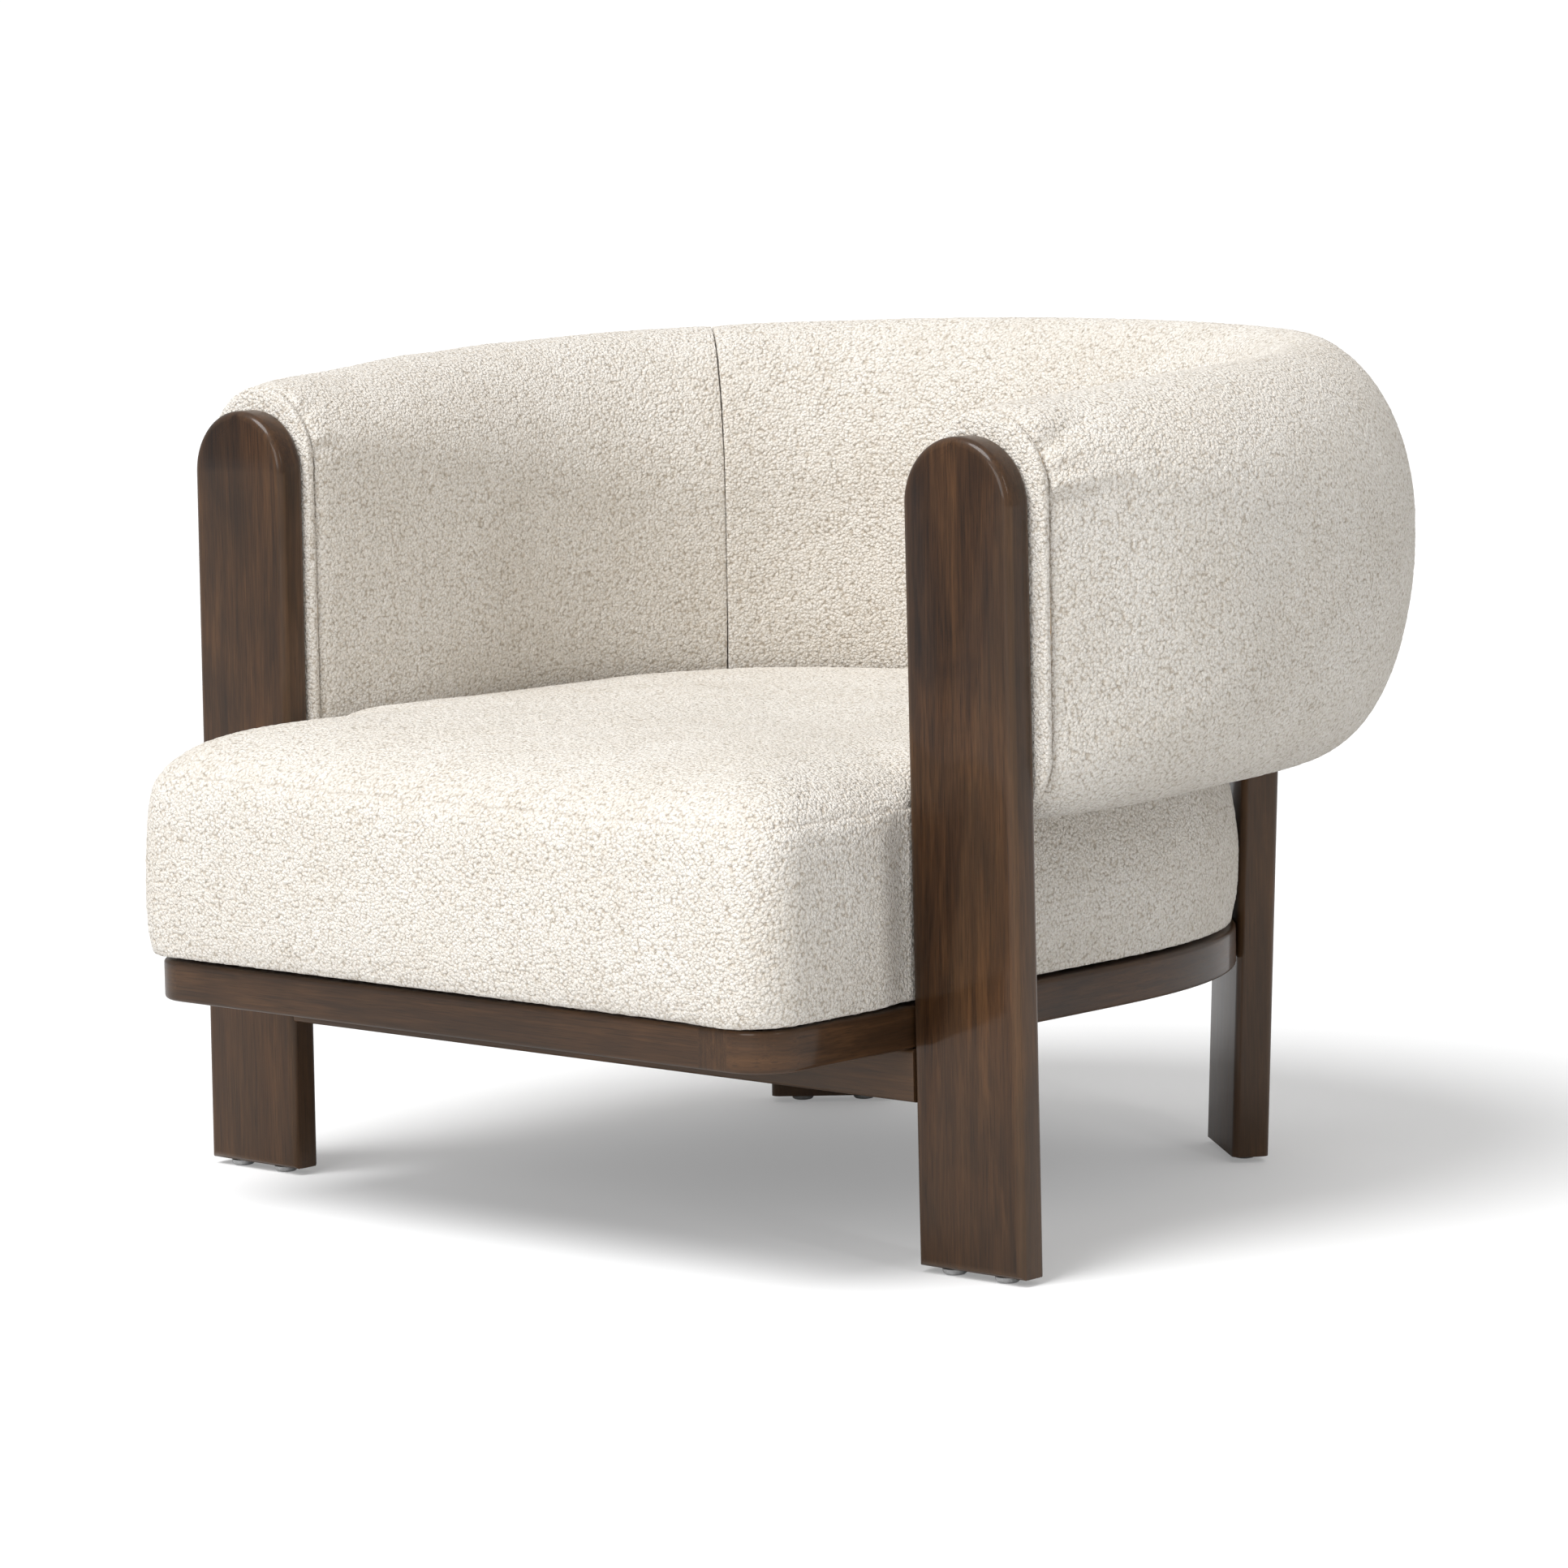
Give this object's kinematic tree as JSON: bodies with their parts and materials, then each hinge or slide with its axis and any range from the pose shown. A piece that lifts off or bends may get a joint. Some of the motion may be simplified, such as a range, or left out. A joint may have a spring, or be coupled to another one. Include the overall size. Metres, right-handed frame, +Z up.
{
  "type": "upholstered armchair",
  "caption": "Low barrel armchair: thick tight seat, one rounded band as arms and back, round-topped slab posts, slab rear legs and a wooden seat ring.",
  "frame": {"origin": "on the floor under the middle of the chair's bounding box", "axes": "+Z up, the chair faces -Y, +X to the left of someone sitting in it, which is the chair's width and its longest extent"},
  "size_m": [0.9718, 0.863, 0.6725],
  "materials": {
    "walnut": "satin",
    "boucle": "matte",
    "foam": "matte",
    "plywood": "matte",
    "webbing": "matte",
    "lining": "matte",
    "steel": "satin",
    "glide_plastic": "satin"
  },
  "bodies": {
    "root": {"front_post_right": "walnut", "front_post_left": "walnut", "rear_leg_right": "walnut", "rear_leg_left": "walnut", "front_cross_rail": "walnut", "ring_front": "walnut", "ring_side_right": "walnut", "ring_side_left": "walnut", "ring_corner_right": "walnut", "ring_corner_left": "walnut", "ring_back": "walnut", "corner_block_right": "plywood", "corner_block_left": "plywood", "seat_web_1": "webbing", "seat_web_2": "webbing", "seat_web_3": "webbing", "seat_web_4": "webbing", "seat_web_5": "webbing", "dust_cover": "lining", "seat_foam": "foam", "seat_cover": "boucle", "arm_panel_right": "plywood", "arm_panel_left": "plywood", "arm_lower_rail_right": "plywood", "arm_lower_rail_left": "plywood", "arm_upper_rail_right": "plywood", "arm_upper_rail_left": "plywood", "back_lower_rail": "plywood", "back_upper_rail": "plywood", "arm_upright_right": "plywood", "arm_upright_left": "plywood", "back_upright_right": "plywood", "back_upright_left": "plywood", "arm_foam_right": "foam", "arm_foam_left": "foam", "back_foam": "foam", "arm_facing_right": "boucle", "arm_facing_left": "boucle", "arm_cover_right": "boucle", "arm_cover_left": "boucle", "back_cover": "boucle", "ring_bolt_right": "steel", "ring_bolt_left": "steel", "arm_bolt_1_right": "steel", "arm_bolt_1_left": "steel", "arm_bolt_2_right": "steel", "arm_bolt_2_left": "steel", "leg_bolt_1_right": "steel", "leg_bolt_1_left": "steel", "leg_bolt_2_right": "steel", "leg_bolt_2_left": "steel", "front_glide_1_right": "glide_plastic", "front_glide_1_left": "glide_plastic", "rear_glide_1_right": "glide_plastic", "rear_glide_1_left": "glide_plastic", "front_glide_2_right": "glide_plastic", "front_glide_2_left": "glide_plastic", "rear_glide_2_right": "glide_plastic", "rear_glide_2_left": "glide_plastic"}
  },
  "joints": []
}
